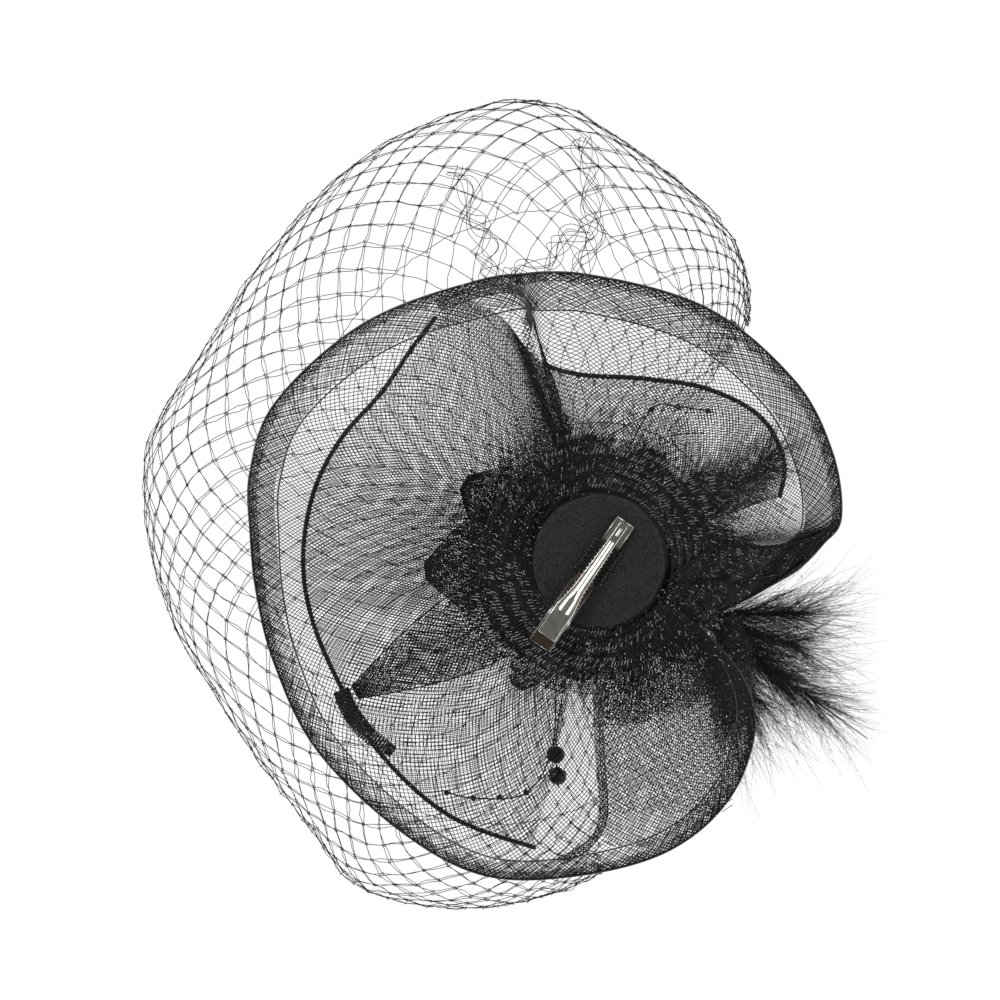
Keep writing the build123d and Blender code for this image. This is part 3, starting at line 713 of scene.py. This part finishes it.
def veil():
    """Knotted net: threads zigzag between lattice nodes, with a small open diamond at each."""
    rows, columns = VEIL_ALONG * 2 + 1, VEIL_ACROSS + 1
    s = np.linspace(0.0, 1.0, rows) ** 0.92     # evens out the cells along the cloth
    grid = np.zeros((rows, columns, 3))
    for i in range(rows):
        u = (np.arange(columns) + (i % 2) / 2) / (VEIL_ACROSS + 0.5)
        grid[i] = veil_point(u, np.full(columns, s[i]))
    shake = rng.normal(0, 1, grid.shape) * (0.45, 0.45, 0.9)
    grid += shake * np.linspace(0.3, 1.0, rows)[:, None, None]
    lines, knots = [], []
    for i in range(rows - 1):
        for j in range(columns):
            for step in (0, 1):
                k = j - 1 + step + (i % 2)
                if 0 <= k < columns:
                    a, b = grid[i, j], grid[i + 1, k]
                    if np.linalg.norm(a - b) > LONGEST_THREAD:
                        continue
                    mid = (a + b) / 2 + rng.normal(0, 0.35, 3)
                    lines.append(np.array([a, (a * 2 + mid) / 3, mid, (b * 2 + mid) / 3, b]))
    for i in range(rows):
        for j in range(columns):
            centre = grid[i, j]
            ahead = grid[min(i + 1, rows - 1), j] - grid[max(i - 1, 0), j]
            ahead /= np.linalg.norm(ahead) + 1e-9
            side = np.cross(ahead, (0.1, 0.2, 1.0))
            side /= np.linalg.norm(side) + 1e-9
            corners = [ahead, side, -ahead, -side, ahead]
            knots.append(np.array([centre + c * KNOT for c in corners]))
    tubes("veil_net", lines, 0.155, net_thread, ["veil"])
    tubes("veil_knots", knots, 0.12, net_thread, ["veil"])
    hem = edge_line(veil_point, 1.0, 220)
    hem = hem + rng.normal(0, 0.3, hem.shape)
    # The net's outgoing layer, up to where it turns back: the strands lie on it.
    u, s = np.meshgrid(np.linspace(0, 1, 240), np.linspace(0.25, 90 / VEIL_TURN, 60))
    layer = veil_point(u.ravel(), s.ravel())
    tangle = []
    for path in VEIL_CREASES:
        middle = smooth_line(path, 60)
        ahead, side = np.gradient(middle, axis=0), sideways(middle)
        way = np.linspace(0, 1, 60)[:, None]
        for _ in range(CREASE_STRANDS):
            reach = rng.uniform(2.0, 5.5)
            waves = rng.uniform(1.1, 2.9)
            swing = reach * np.sin(FULL * waves * way + rng.uniform(0, 6)) + rng.normal(0, 0.8)
            lag = 0.25 * np.sin(FULL * waves * 2 * way + rng.uniform(0, 6)) * reach
            strand = middle + side * swing + ahead * lag
            apart = (strand[:, None, :2] - layer[None, :, :2]) ** 2
            strand[:, 2] = layer[apart.sum(axis=2).argmin(axis=1), 2] + 0.2 * rng.normal(0, 2)
            tangle.append(strand)
    tubes("veil_tangle", tangle, 0.14, net_thread, ["veil"])
    tubes("veil_selvage", [hem], 0.14, net_thread, ["veil"], sides=4)


# ---- flower ----
PETAL_PUFF = 2.5             # how far the upper layer stands off the lower one


def petal_surface(angle, length, width, root, bulge):
    """Surface of one layer of a petal: u goes across it and s from root to tip."""
    def surface(u, s):
        along = PETAL_INNER_R + (length - PETAL_INNER_R) * s
        t = 2 * u - 1
        half = 2 + (width / 2 - 2) * np.sin(math.pi * np.minimum(1, 0.02 + 0.96 * s) ** 0.8)
        x, y = polar(angle, along)
        side_x, side_y = polar(angle + 90, half * t)
        rise = 13 * (along / 60) ** 1.3 + 1.5 * t * t * np.sin(math.pi * s)
        z = root + rise + bulge * np.sin(math.pi * s) * (1 - 0.5 * t * t)
        return np.stack([x + side_x, y + side_y, z], axis=-1)
    return surface


def area_of(surface, count=60):
    """Area of a surface, in square metres."""
    u = np.linspace(0, 1, count)
    grid = np.stack([surface(u, np.full(count, s)) for s in np.linspace(0, 1, count)], axis=1)
    corners = np.cross(grid[1:, :-1] - grid[:-1, :-1], grid[:-1, 1:] - grid[:-1, :-1])
    return np.linalg.norm(corners, axis=2).sum() * 1e-6


def petal(name, node, angle, length, width, root):
    """A loop of crinoline: an under layer and a puffed upper layer that meet round a corded edge."""
    lines = []
    cut = 0.0
    for lift in (0.0, PETAL_PUFF):
        surface = petal_surface(angle, length, width, root, lift)
        cut += area_of(surface)
        lines += braid(surface, width * 1.1, length, 1.45, step=2.5)
    loop = cloth(name, lines, node, petal_nylon, 0.2)
    surface = petal_surface(angle, length, width, root, PETAL_PUFF * 0.5)
    s = np.concatenate([np.linspace(0, 1, 40), np.linspace(1, 0, 40)])
    u = np.concatenate([np.zeros(40), np.ones(40)])
    edge = tubes(name + "_edge", [surface(u, s)], 0.3, petal_nylon, [node], sides=6)


KNOT_TURNS = 26
KNOT_FOLDS = 420


def centre_knot():
    """Wound core: crinoline wrapped round and round, and loose folds over it."""
    low, high = node_box("centre_knot")
    t = np.linspace(0, 1, 900)
    z = low[2] + (high[2] - low[2]) * t
    radius = 6.3 * np.sqrt(np.clip(1 - ((t - 0.45) / 0.56) ** 8, 0.02, 1))
    turns = FULL * KNOT_TURNS * t
    wind = np.stack([radius * np.cos(turns), radius * np.sin(turns), z], axis=-1)
    back = np.stack([radius * np.cos(-turns * 0.7), radius * np.sin(-turns * 0.7), z], axis=-1)
    cloth("centre_knot_wraps", [wind, back * (0.97, 0.97, 1)], "centre_knot", petal_nylon, 0.85, 6)
    folds_in = []
    for _ in range(KNOT_FOLDS):
        turn = rng.uniform(0, FULL)
        start_z = rng.uniform(low[2] + 2, high[2] - 6)
        swing = turn + np.linspace(0, rng.uniform(0.5, 1.9), 8)
        out = 6.6 + rng.uniform(0.3, 1.4) * np.sin(np.linspace(0, math.pi, 8))
        rise = start_z + np.linspace(0, rng.normal(2, 4), 8)
        folds_in.append(np.column_stack([out * np.cos(swing), out * np.sin(swing), rise]))
    cloth("centre_knot_folds", folds_in, "centre_knot", petal_nylon, 0.28, 4)


# ---- beads ----
BEAD_WIRES = [
    [(-1, 4, 42), (-7, 28, 58), (-13, 55, 56), (-15, 72, 50), (-14, 86, 48)],
    [(-4, 3, 42), (-14, 38, 60), (-16, 70, 56), (-26, 88, 50), (-46, 90, 49), (-58, 87, 49)],
    [(-5, 1, 42), (-34, 20, 58), (-62, 36, 52)],
    [(2, -4, 42), (10, -34, 57), (21, -56, 50), (31, -57, 48), (44, -55, 47)],
]
SMALL_BEADS = [
    (-26, 88, 50), (-36, 89.6, 49.4), (-46, 90, 49), (-56, 88, 49),
    (-60, 35, 52.4), (21, -56, 50), (31, -57, 48), (42, -55.4, 47.2),
]
LARGE_BEADS = [(-15, 73.6, 50), (-14.4, 81.6, 48.6)]


def bead_group(name, places, radius, sides, rings, node):
    """Cut beads: flat facets round a pierced ball."""
    points, faces = [], []
    for place in places:
        base = len(points)
        spin = rng.uniform(0, FULL)
        for i in range(rings + 1):
            tilt = math.pi * (0.06 + 0.88 * i / rings)
            for j in range(sides):
                turn = spin + FULL * (j + 0.5 * (i % 2)) / sides
                out = radius * math.sin(tilt)
                facet = (out * math.cos(turn), radius * math.cos(tilt), out * math.sin(turn))
                points.append(np.array(place) + facet)
        for i in range(rings):
            for j in range(sides):
                a, b = base + i * sides + j, base + i * sides + (j + 1) % sides
                c, d = a + sides, b + sides
                faces += [(a, b, c), (b, d, c)] if i % 2 == 0 else [(a, b, d), (a, d, c)]
        faces.append([base + j for j in range(sides)][::-1])
        faces.append([base + rings * sides + j for j in range(sides)])
    piece = face_piece(name, points, faces, jet, smooth=False)
    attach(piece, HEAD)
    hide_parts(node)


def beads():
    """Wires that rise from the core and arch out to their beads."""
    for number, wire in enumerate(BEAD_WIRES, 1):
        tubes(f"bead_stem_{number}", [smooth_line(wire, 60)], 0.3, wire_lacquer,
              [f"bead_wire_{number}"], sides=7)
    bead_group("cut_beads_small", SMALL_BEADS, 1.15, 7, 5, "small_beads")
    bead_group("cut_beads_large", LARGE_BEADS, 3.5, 11, 8, "large_beads")


# ---- feathers ----
QUILL_1 = [(22, 12, 26), (48, 29, 33), (76, 49, 36), (101, 67, 36)]
QUILL_2 = [(14, -9, 19), (34, -19, 25), (54, -30, 29), (68, -42, 31)]
AFTER_PLUMES = [-34, -18, 0, 18, 34]    # degrees the fluff shafts turn away from the outer quill
AFTER_ROOT = (34.0, 20.0, 29.0)
AFTER_SHAFT = 40.0
AFTER_TURN = 35              # direction of the outer quill in plan, in degrees
AFTER_FAN = 34
PLUME_LIMIT = 104.0          # barbs are shortened where they would pass this in X
BARB_POINTS = 14


def plume(name, line, node, quill_node, barbs, reach, hairs, fan, root_span, tip_soft):
    """Marabou: soft barbs that fan out from a quill, each with its own fine hairs. fan is the
    range of plan directions of the barbs, and root_span the part of the quill that they leave."""
    curve = smooth_line(line, 200)
    thick = np.linspace(0.55, 0.18, 200) if name == "plume_outer" else np.linspace(0.3, 0.08, 200)
    tubes(name + "_quill", [curve], [thick], quill_horn, [quill_node], sides=8)
    barb_lines, barb_radii, hair_lines, hair_radii = [], [], [], []
    for _ in range(barbs):
        share = rng.uniform(0, 1)
        at = root_span[0] + (root_span[1] - root_span[0]) * share ** 1.2
        root = curve[int(at * 198)]
        turn = rng.uniform(*fan)
        out = np.array([*polar(turn, 1.0), rng.normal(0, 0.12)])
        side = np.array([-out[1], out[0], 0])
        length = reach * rng.uniform(0.35, 1.0) * (1 - 0.25 * abs(turn - (fan[0] + fan[1]) / 2) / 60)
        past = root[0] + out[0] * length - PLUME_LIMIT
        if past > 0:
            length = max(6.0, length - past / max(out[0], 0.3))
        t = np.linspace(0, 1, BARB_POINTS)[:, None]
        bend = rng.normal(0, 0.16) * side + (0, 0, rng.normal(0, 0.08))
        wave = 0.9 * np.sin(t * rng.uniform(3, 8) + rng.uniform(0, 6)) * side * t
        barb = root + (out * t + bend * t * t) * length + wave
        barb_lines.append(barb)
        barb_radii.append(np.linspace(0.11, 0.025, BARB_POINTS))
        for _ in range(hairs):
            f = rng.uniform(0.02, 0.95) ** tip_soft
            place = f * (BARB_POINTS - 2)
            p = min(int(place), BARB_POINTS - 2)
            start_point = barb[p] + (barb[p + 1] - barb[p]) * (place - p)
            way = barb[p + 1] - barb[p]
            way /= np.linalg.norm(way) + 1e-9
            off = rng.normal(0, 1, 3) * (1, 1, 0.7)
            off /= np.linalg.norm(off)
            h = rng.uniform(1.0, 5.0) * (1.1 - f)
            mid = start_point + (way * 0.8 + off * 0.6) * h * 0.5
            tip = start_point + (way * 1.3 + off * 1.1) * h
            hair_lines.append(np.array([start_point, mid, tip]))
            hair_radii.append(np.array([0.05, 0.04, 0.02]))
    tubes(name + "_barbs", barb_lines, barb_radii, down, [node])
    tubes(name + "_down", hair_lines, hair_radii, down, [node])


# ---- base and clip ----
WOOL_HAIRS = 5200


def felt_pad():
    """Domed felt disc with a soft rim, and loose wool fibres over its face and edge."""
    radius, _, height = node_box("felt_pad")[1]
    profile = [(0, 0.05), (0.3, 0.03), (0.6, 0.02), (0.85, 0.06), (0.95, 0.2), (0.99, 0.5),
               (1.0, 0.9), (1.0, height - 0.9), (0.985, height - 0.4), (0.94, height)]
    sides = 128
    points = [(0, 0, profile[0][1])]
    for r, z in profile[1:]:
        for j in range(sides):
            turn = FULL * j / sides
            uneven = 1 + 0.004 * math.sin(5 * turn + 1) + 0.003 * math.sin(11 * turn)
            rough = rng.normal(0, 0.035)
            points.append((r * radius * uneven * math.cos(turn), r * radius * uneven * math.sin(turn),
                           z + rough))
    points.append((0, 0, height))
    middle = len(points) - 1
    last = middle - sides
    faces = [[0, 1 + (j + 1) % sides, 1 + j] for j in range(sides)]
    faces += ring_quads(len(profile) - 1, sides, 1)
    faces += [[last + j, last + (j + 1) % sides, middle] for j in range(sides)]
    pad = face_piece("felt_pad_wool", points, faces, felt_wool)
    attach(pad, HEAD)
    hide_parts("felt_pad")
    hairs = []
    for _ in range(WOOL_HAIRS):
        r = radius * math.sqrt(rng.uniform(0, 1.02))
        turn = rng.uniform(0, FULL)
        z = 0.05 if r < radius * 0.93 else rng.uniform(0.1, height - 0.2)
        root = np.array([r * math.cos(turn), r * math.sin(turn), z])
        way = rng.normal(0, 1, 3) * (1, 1, 0.25)
        way /= np.linalg.norm(way)
        length = rng.uniform(0.5, 1.5)
        hairs.append(np.array([root, root + way * length * 0.5 - (0, 0, 0.12), root + way * length]))
    tubes("felt_pad_fibres", hairs, 0.035, felt_wool)


CLIP_START = np.array([-21.8, 30.9, 0.0])
CLIP_ANGLE = math.radians(-54.9)
PIN_AT = 12.2
PIN_Z = -4.4


def on_clip(points):
    """Points given along, across and up from the clip's thumb end, placed on the pad."""
    points = np.asarray(points, float)
    along = np.array([math.cos(CLIP_ANGLE), math.sin(CLIP_ANGLE), 0])
    across = np.array([-math.sin(CLIP_ANGLE), math.cos(CLIP_ANGLE), 0])
    return CLIP_START + points[:, :1] * along + points[:, 1:2] * across + points[:, 2:] * (0, 0, 1)


JAW_KEEL = [(4.4, -9.4), (12.2, -7.2), (24.0, -6.2), (55.0, -3.6)]
JAW_HALF = [(4.4, 3.65), (16, 3.65), (25, 2.35), (44, 1.75), (53.6, 1.65), (54.4, 1.1)]
JAW_TOP = [(4.4, -6.4), (7.5, -5.4), (9.5, -2.8), (54.6, -2.4)]
PLATE = 0.42
TOOTH_PITCH = 1.6


def listed(table, x):
    return np.interp(x, [a for a, b in table], [b for a, b in table])


def jaw_section(x):
    """Half of the jaw's outer section at x, from its upper edge down and in to its middle: points
    (across, up), with the flared teeth, the rolled corner and the long groove."""
    half, keel, top = listed(JAW_HALF, x), listed(JAW_KEEL, x), listed(JAW_TOP, x)
    toothed = 17 < x < 44
    tooth = 0.42 * max(0.0, math.sin(FULL * x / TOOTH_PITCH)) if toothed else 0.0
    depth = 0.2 * min(1, max(0, (x - 14.5) / 0.8)) * min(1, max(0, (46.5 - x) / 0.8))
    tip = 0.3 * math.exp(-((x - 50.3) / 1.5) ** 4)
    wide = 1.1 if x < 20 else max(0.35, 1.1 - 0.16 * (x - 20))
    wall = max(top - keel, 0.9)
    tongue = 0.9 * depth if x < 21 else 0.0
    return [
        (half + tooth, keel + wall), (half + tooth, keel + wall * 0.62), (half + 0.02, keel + wall * 0.42),
        (half, keel + 0.3), (half - 0.06, keel + 0.1), (half - 0.16, keel + 0.02), (half - 0.3, keel),
        (min(wide + 0.15, half - 0.45), keel), (min(wide, half - 0.6), keel + depth * 0.8),
        (wide * 0.55, keel + depth - tip - tongue), (0, keel + depth - tip * 1.2 - tongue),
    ]


def jaw():
    """Sprung jaw: a folded channel of thin plate, closed by its own thickness."""
    stations = np.unique(np.concatenate([np.arange(4.4, 54.4, 0.2), [54.4]]))
    points = []
    for x in stations:
        half = jaw_section(x)
        outer = half + [(-y, z) for y, z in reversed(half[:-1])]
        inner = []
        for y, z in reversed(outer):
            inner.append((y - math.copysign(min(PLATE, abs(y)), y) if abs(y) > 0.8 else y * 0.7,
                          max(z, z + PLATE if abs(y) < listed(JAW_HALF, x) - 0.3 else z)))
        inner[0] = (inner[0][0], outer[-1][1])
        inner[-1] = (inner[-1][0], outer[0][1])
        points += [(x, y, z) for y, z in outer + inner]
        ring = len(outer) + len(inner)
    faces = ring_quads(len(stations), ring)
    for base, order in ((0, 1), ((len(stations) - 1) * ring, -1)):
        for j in range(ring // 2 - 1):
            quad = [base + j, base + ring - 1 - j, base + ring - 2 - j, base + j + 1]
            faces.append(quad[::order])
    thumb = [(4.45, -3.5, -6.6), (4.45, -3.6, -9.1), (4.45, -3.2, -9.45), (4.45, 3.2, -9.45),
             (4.45, 3.6, -9.1), (4.45, 3.5, -6.6)]
    runs = [thumb]
    for side in (-1, 1):
        runs.append([(x, side * (listed(JAW_HALF, x) - 0.1), listed(JAW_KEEL, x) + 0.2)
                     for x in np.arange(4.5, 19, 0.5)])
        for x in np.arange(17.2, 44, TOOTH_PITCH):
            half, keel = listed(JAW_HALF, x), listed(JAW_KEEL, x)
            runs.append([(x, side * (half - 0.05), keel + 0.5), (x, side * (half + 0.42), keel + 1.0),
                         (x + 0.5, side * (half + 0.42), keel + 1.3)])
    # the rim and teeth tubes take the lighter plating: painted highlight along the jaw's edges
    tubes("clip_jaw_edges", [on_clip(run) for run in runs], 0.12, edge_highlight_plate,
          body=JAW, sides=6)
    piece = face_piece("clip_jaw_shell", on_clip(points), faces, clip_plate)
    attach(piece, JAW)
    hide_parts("clip_jaw")


COIL_R = 1.65
COIL_TURNS = 4
COIL_SIDE = 1.5              # the coil's ends are this far from the clip's middle


def clip():
    """The fixed arm's end cap and rolled edges, the jaw, and the spring round the pin."""
    for node in ("clip_base_arm", "clip_pin"):
        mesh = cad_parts[node].data
        mesh.materials.clear()
        # the pin takes the lighter plating that paints a highlight
        mesh.materials.append(clip_box if node == "clip_base_arm" else edge_highlight_plate)
    cap = [(45.6, -3.5, -0.68), (54.6, -3.5, -0.68), (54.6, 3.5, -0.68), (45.6, 3.5, -0.68)]
    cap += [(x, y, -0.8) for x, y, _ in cap]
    faces = [0, 1, 2, 3, 7, 6, 5, 4, 0, 4, 5, 1, 1, 5, 6, 2, 2, 6, 7, 3, 3, 7, 4, 0]
    plate = mesh_piece("clip_end_cap", on_clip(cap), faces, [4] * 6, clip_plate, smooth=False)
    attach(plate, HEAD)
    jaw()
    rim = [(0.2, -4.1, -3.8), (0.2, -4.1, -0.5), (0.2, 4.1, -0.5), (0.2, 4.1, -3.8)]
    runs = [rim]
    for side in (-1, 1):
        wall = [(0.2, -3.9), (8.6, PIN_Z - 0.35), (11, PIN_Z - 2.2), (13.4, PIN_Z - 2.2),
                (15, PIN_Z - 1.4), (17, -2.2)]
        runs.append([(x, side * 4.15, z) for x, z in wall] + [(29, side * 4.1, -0.9)])
        runs.append([(45.5, side * 3.55, -1.95), (54.8, side * 3.5, -1.95)])
    runs.append([(54.8, -3.5, -1.85), (54.8, 3.5, -1.85)])
    # the rolled edges take the lighter plating: painted highlight along them
    tubes("clip_rolled_edges", [on_clip(run) for run in runs], 0.2, edge_highlight_plate, sides=8)
    t = np.linspace(0, 1, 160)
    swing = FULL * COIL_TURNS * t
    coil = np.stack([PIN_AT + COIL_R * np.cos(swing), COIL_SIDE - 2 * COIL_SIDE * t,
                     PIN_Z + COIL_R * np.sin(swing)], axis=-1)
    fixed = [(PIN_AT + COIL_R, COIL_SIDE, PIN_Z), (16, COIL_SIDE, PIN_Z + 1.0),
             (20, COIL_SIDE, -1.5), (23, 1.4, -1.05)]
    moving = [(PIN_AT + COIL_R, -COIL_SIDE, PIN_Z), (16, -COIL_SIDE, PIN_Z - 0.25), (23, -1.4, -5.2)]
    tubes("spring_coil", [on_clip(np.concatenate([smooth_line(fixed, 20)[::-1], coil[1:]]))], 0.3,
          spring_wire, ["clip_spring"], sides=8)
    tubes("spring_moving_leg", [on_clip(smooth_line(moving, 16))], 0.3, spring_wire,
          ["clip_spring"], body=JAW, sides=8)


BINDING_TURNS = 9
BINDING_FROM = 31.0
BINDING_PITCH = 1.6


def binding():
    """Whipped thread over the base arm: nine turns of two strands."""
    path = [(-5.6, -0.05), (-5.5, -0.6), (-4.9, -0.95), (0, -0.98), (4.9, -0.95), (5.5, -0.6), (5.6, -0.05)]
    strands = []
    for k in range(BINDING_TURNS):
        for half in (-0.34, 0.34):
            x = BINDING_FROM + k * BINDING_PITCH + half
            bow = rng.normal(0, 0.12, len(path))
            reach = 1 + rng.normal(0, 0.05)
            turn = [(x + b, y * reach, z) for b, (y, z) in zip(bow, path)]
            strands.append(on_clip(smooth_line(turn, 28)))
    tubes("clip_whipping", strands, 0.42, wire_lacquer, ["clip_binding"], sides=6)


def plain_nodes():
    """CAD nodes whose shape already serves get their finish here."""
    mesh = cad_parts["backing_disc"].data
    mesh.materials.clear()
    mesh.materials.append(buckram_cloth)


# ---- floor and light ----
FLOOR_HALF = 60000.0
FLOOR_Z = -1800.0


def stage():
    """Pale floor, and soft studio light."""
    floor_material, nodes, links, shader = new_material("pale_floor")
    tone = ramp(nodes, links, noise(nodes, links, 3.0), [(0.3, (0.86, 0.86, 0.86)), (0.7, (0.9, 0.9, 0.9))])
    links.new(tone, shader.inputs["Base Color"])
    shader.inputs["Roughness"].default_value = 0.9
    corners = np.array([(x * FLOOR_HALF, y * FLOOR_HALF, FLOOR_Z)
                        for x, y in ((-1, -1), (1, -1), (1, 1), (-1, 1))])
    floor = mesh_piece("floor", corners, [0, 1, 2, 3], [4], floor_material)
    floor.visible_diffuse = False
    floor.visible_glossy = False
    world = bpy.data.worlds.new("studio")
    world.use_nodes = True
    nodes, links = world.node_tree.nodes, world.node_tree.links
    background = nodes["Background"]
    # What the camera sees past the object is plain white; the object itself is lit by a dimmer
    # studio of soft boxes and dark flags, so that plating and nylon have something to catch.
    place = nodes.new("ShaderNodeTexCoord")
    along = nodes.new("ShaderNodeVectorMath")
    along.operation = "DOT_PRODUCT"
    along.inputs[1].default_value = (0.80, 0.56, 0.22)
    spread = nodes.new("ShaderNodeMapRange")
    spread.inputs["From Min"].default_value = -1.0
    links.new(place.outputs["Generated"], along.inputs[0])
    links.new(along.outputs["Value"], spread.inputs["Value"])
    bands = [(0.0, 0.5), (0.12, 0.9), (0.18, 0.06), (0.24, 1.0), (0.29, 0.08), (0.35, 0.16), (0.385, 0.24),
             (0.41, 0.28), (0.45, 0.14), (0.5, 0.05), (0.56, 0.07), (0.61, 0.9), (0.68, 1.0), (0.73, 0.06),
             (0.8, 0.8), (1.0, 0.5)]
    studio = ramp(nodes, links, spread.outputs["Result"], [(at, grey(value, 1.02)) for at, value in bands])
    seen = nodes.new("ShaderNodeLightPath")
    pick = nodes.new("ShaderNodeMix")
    pick.data_type = "RGBA"
    links.new(seen.outputs["Is Camera Ray"], pick.inputs["Factor"])
    links.new(studio, pick.inputs["A"])
    pick.inputs["B"].default_value = (1, 1, 1, 1)
    links.new(pick.outputs["Result"], background.inputs["Color"])
    scene.world = world
    scene.view_settings.view_transform = "Standard"
    for name, place, size, power in [
        ("key", (-0.7, -0.6, -0.9), 0.5, 9.0), ("fill", (0.8, 0.3, -0.8), 0.6, 5.0),
        ("top", (0.2, -0.5, 1.2), 1.0, 14.0),
    ]:
        light_data = bpy.data.lights.new(name, "AREA")
        light_data.size = size
        light_data.energy = power
        light = bpy.data.objects.new(name, light_data)
        light.location = place
        aim = -light.location
        light.rotation_euler = aim.to_track_quat("-Z", "Y").to_euler()
        scene.collection.objects.link(light)


felt_pad()
plain_nodes()
clip()
binding()
lower_brim()
upper_brim()
ribbon_tail()
veil()
gathers()
folds()
for number, shape in enumerate(BOW_LOOPS, 1):
    petal(f"bow_{number}_loop", f"bow_loop_{number}", *shape, ROOT_Z + ROOT_STEP * (number - 1))
for number, shape in enumerate(PETALS, 1):
    petal(f"petal_{number}_loop", f"petal_{number}", *shape, ROOT_Z + ROOT_STEP * (number + 1))
centre_knot()
beads()
plume("plume_outer", QUILL_1, "plume_1", "quill_1", 240, 46.0, 22, (0, 70), (0.28, 0.74), 1.1)
for number, turn in enumerate(AFTER_PLUMES, 1):
    root = np.array(AFTER_ROOT)
    way = np.array([*polar(AFTER_TURN + turn, AFTER_SHAFT), 5.0])
    shaft = [root, root + way * 0.35 + (0, 0, 1), root + way * 0.7 + (0, 0, 1), root + way]
    middle = AFTER_TURN + 1.1 * turn
    plume(f"plume_after_{number}", shaft, "plume_1", "quill_1", 210, 44.0, 22,
          (middle - AFTER_FAN, middle + AFTER_FAN), (0.2, 1.0), 1.1)
plume("plume_tuft", QUILL_2, "plume_2", "quill_2", 300, 27.0, 34, (-130, 60), (0.2, 0.88), 1.0)
stage()
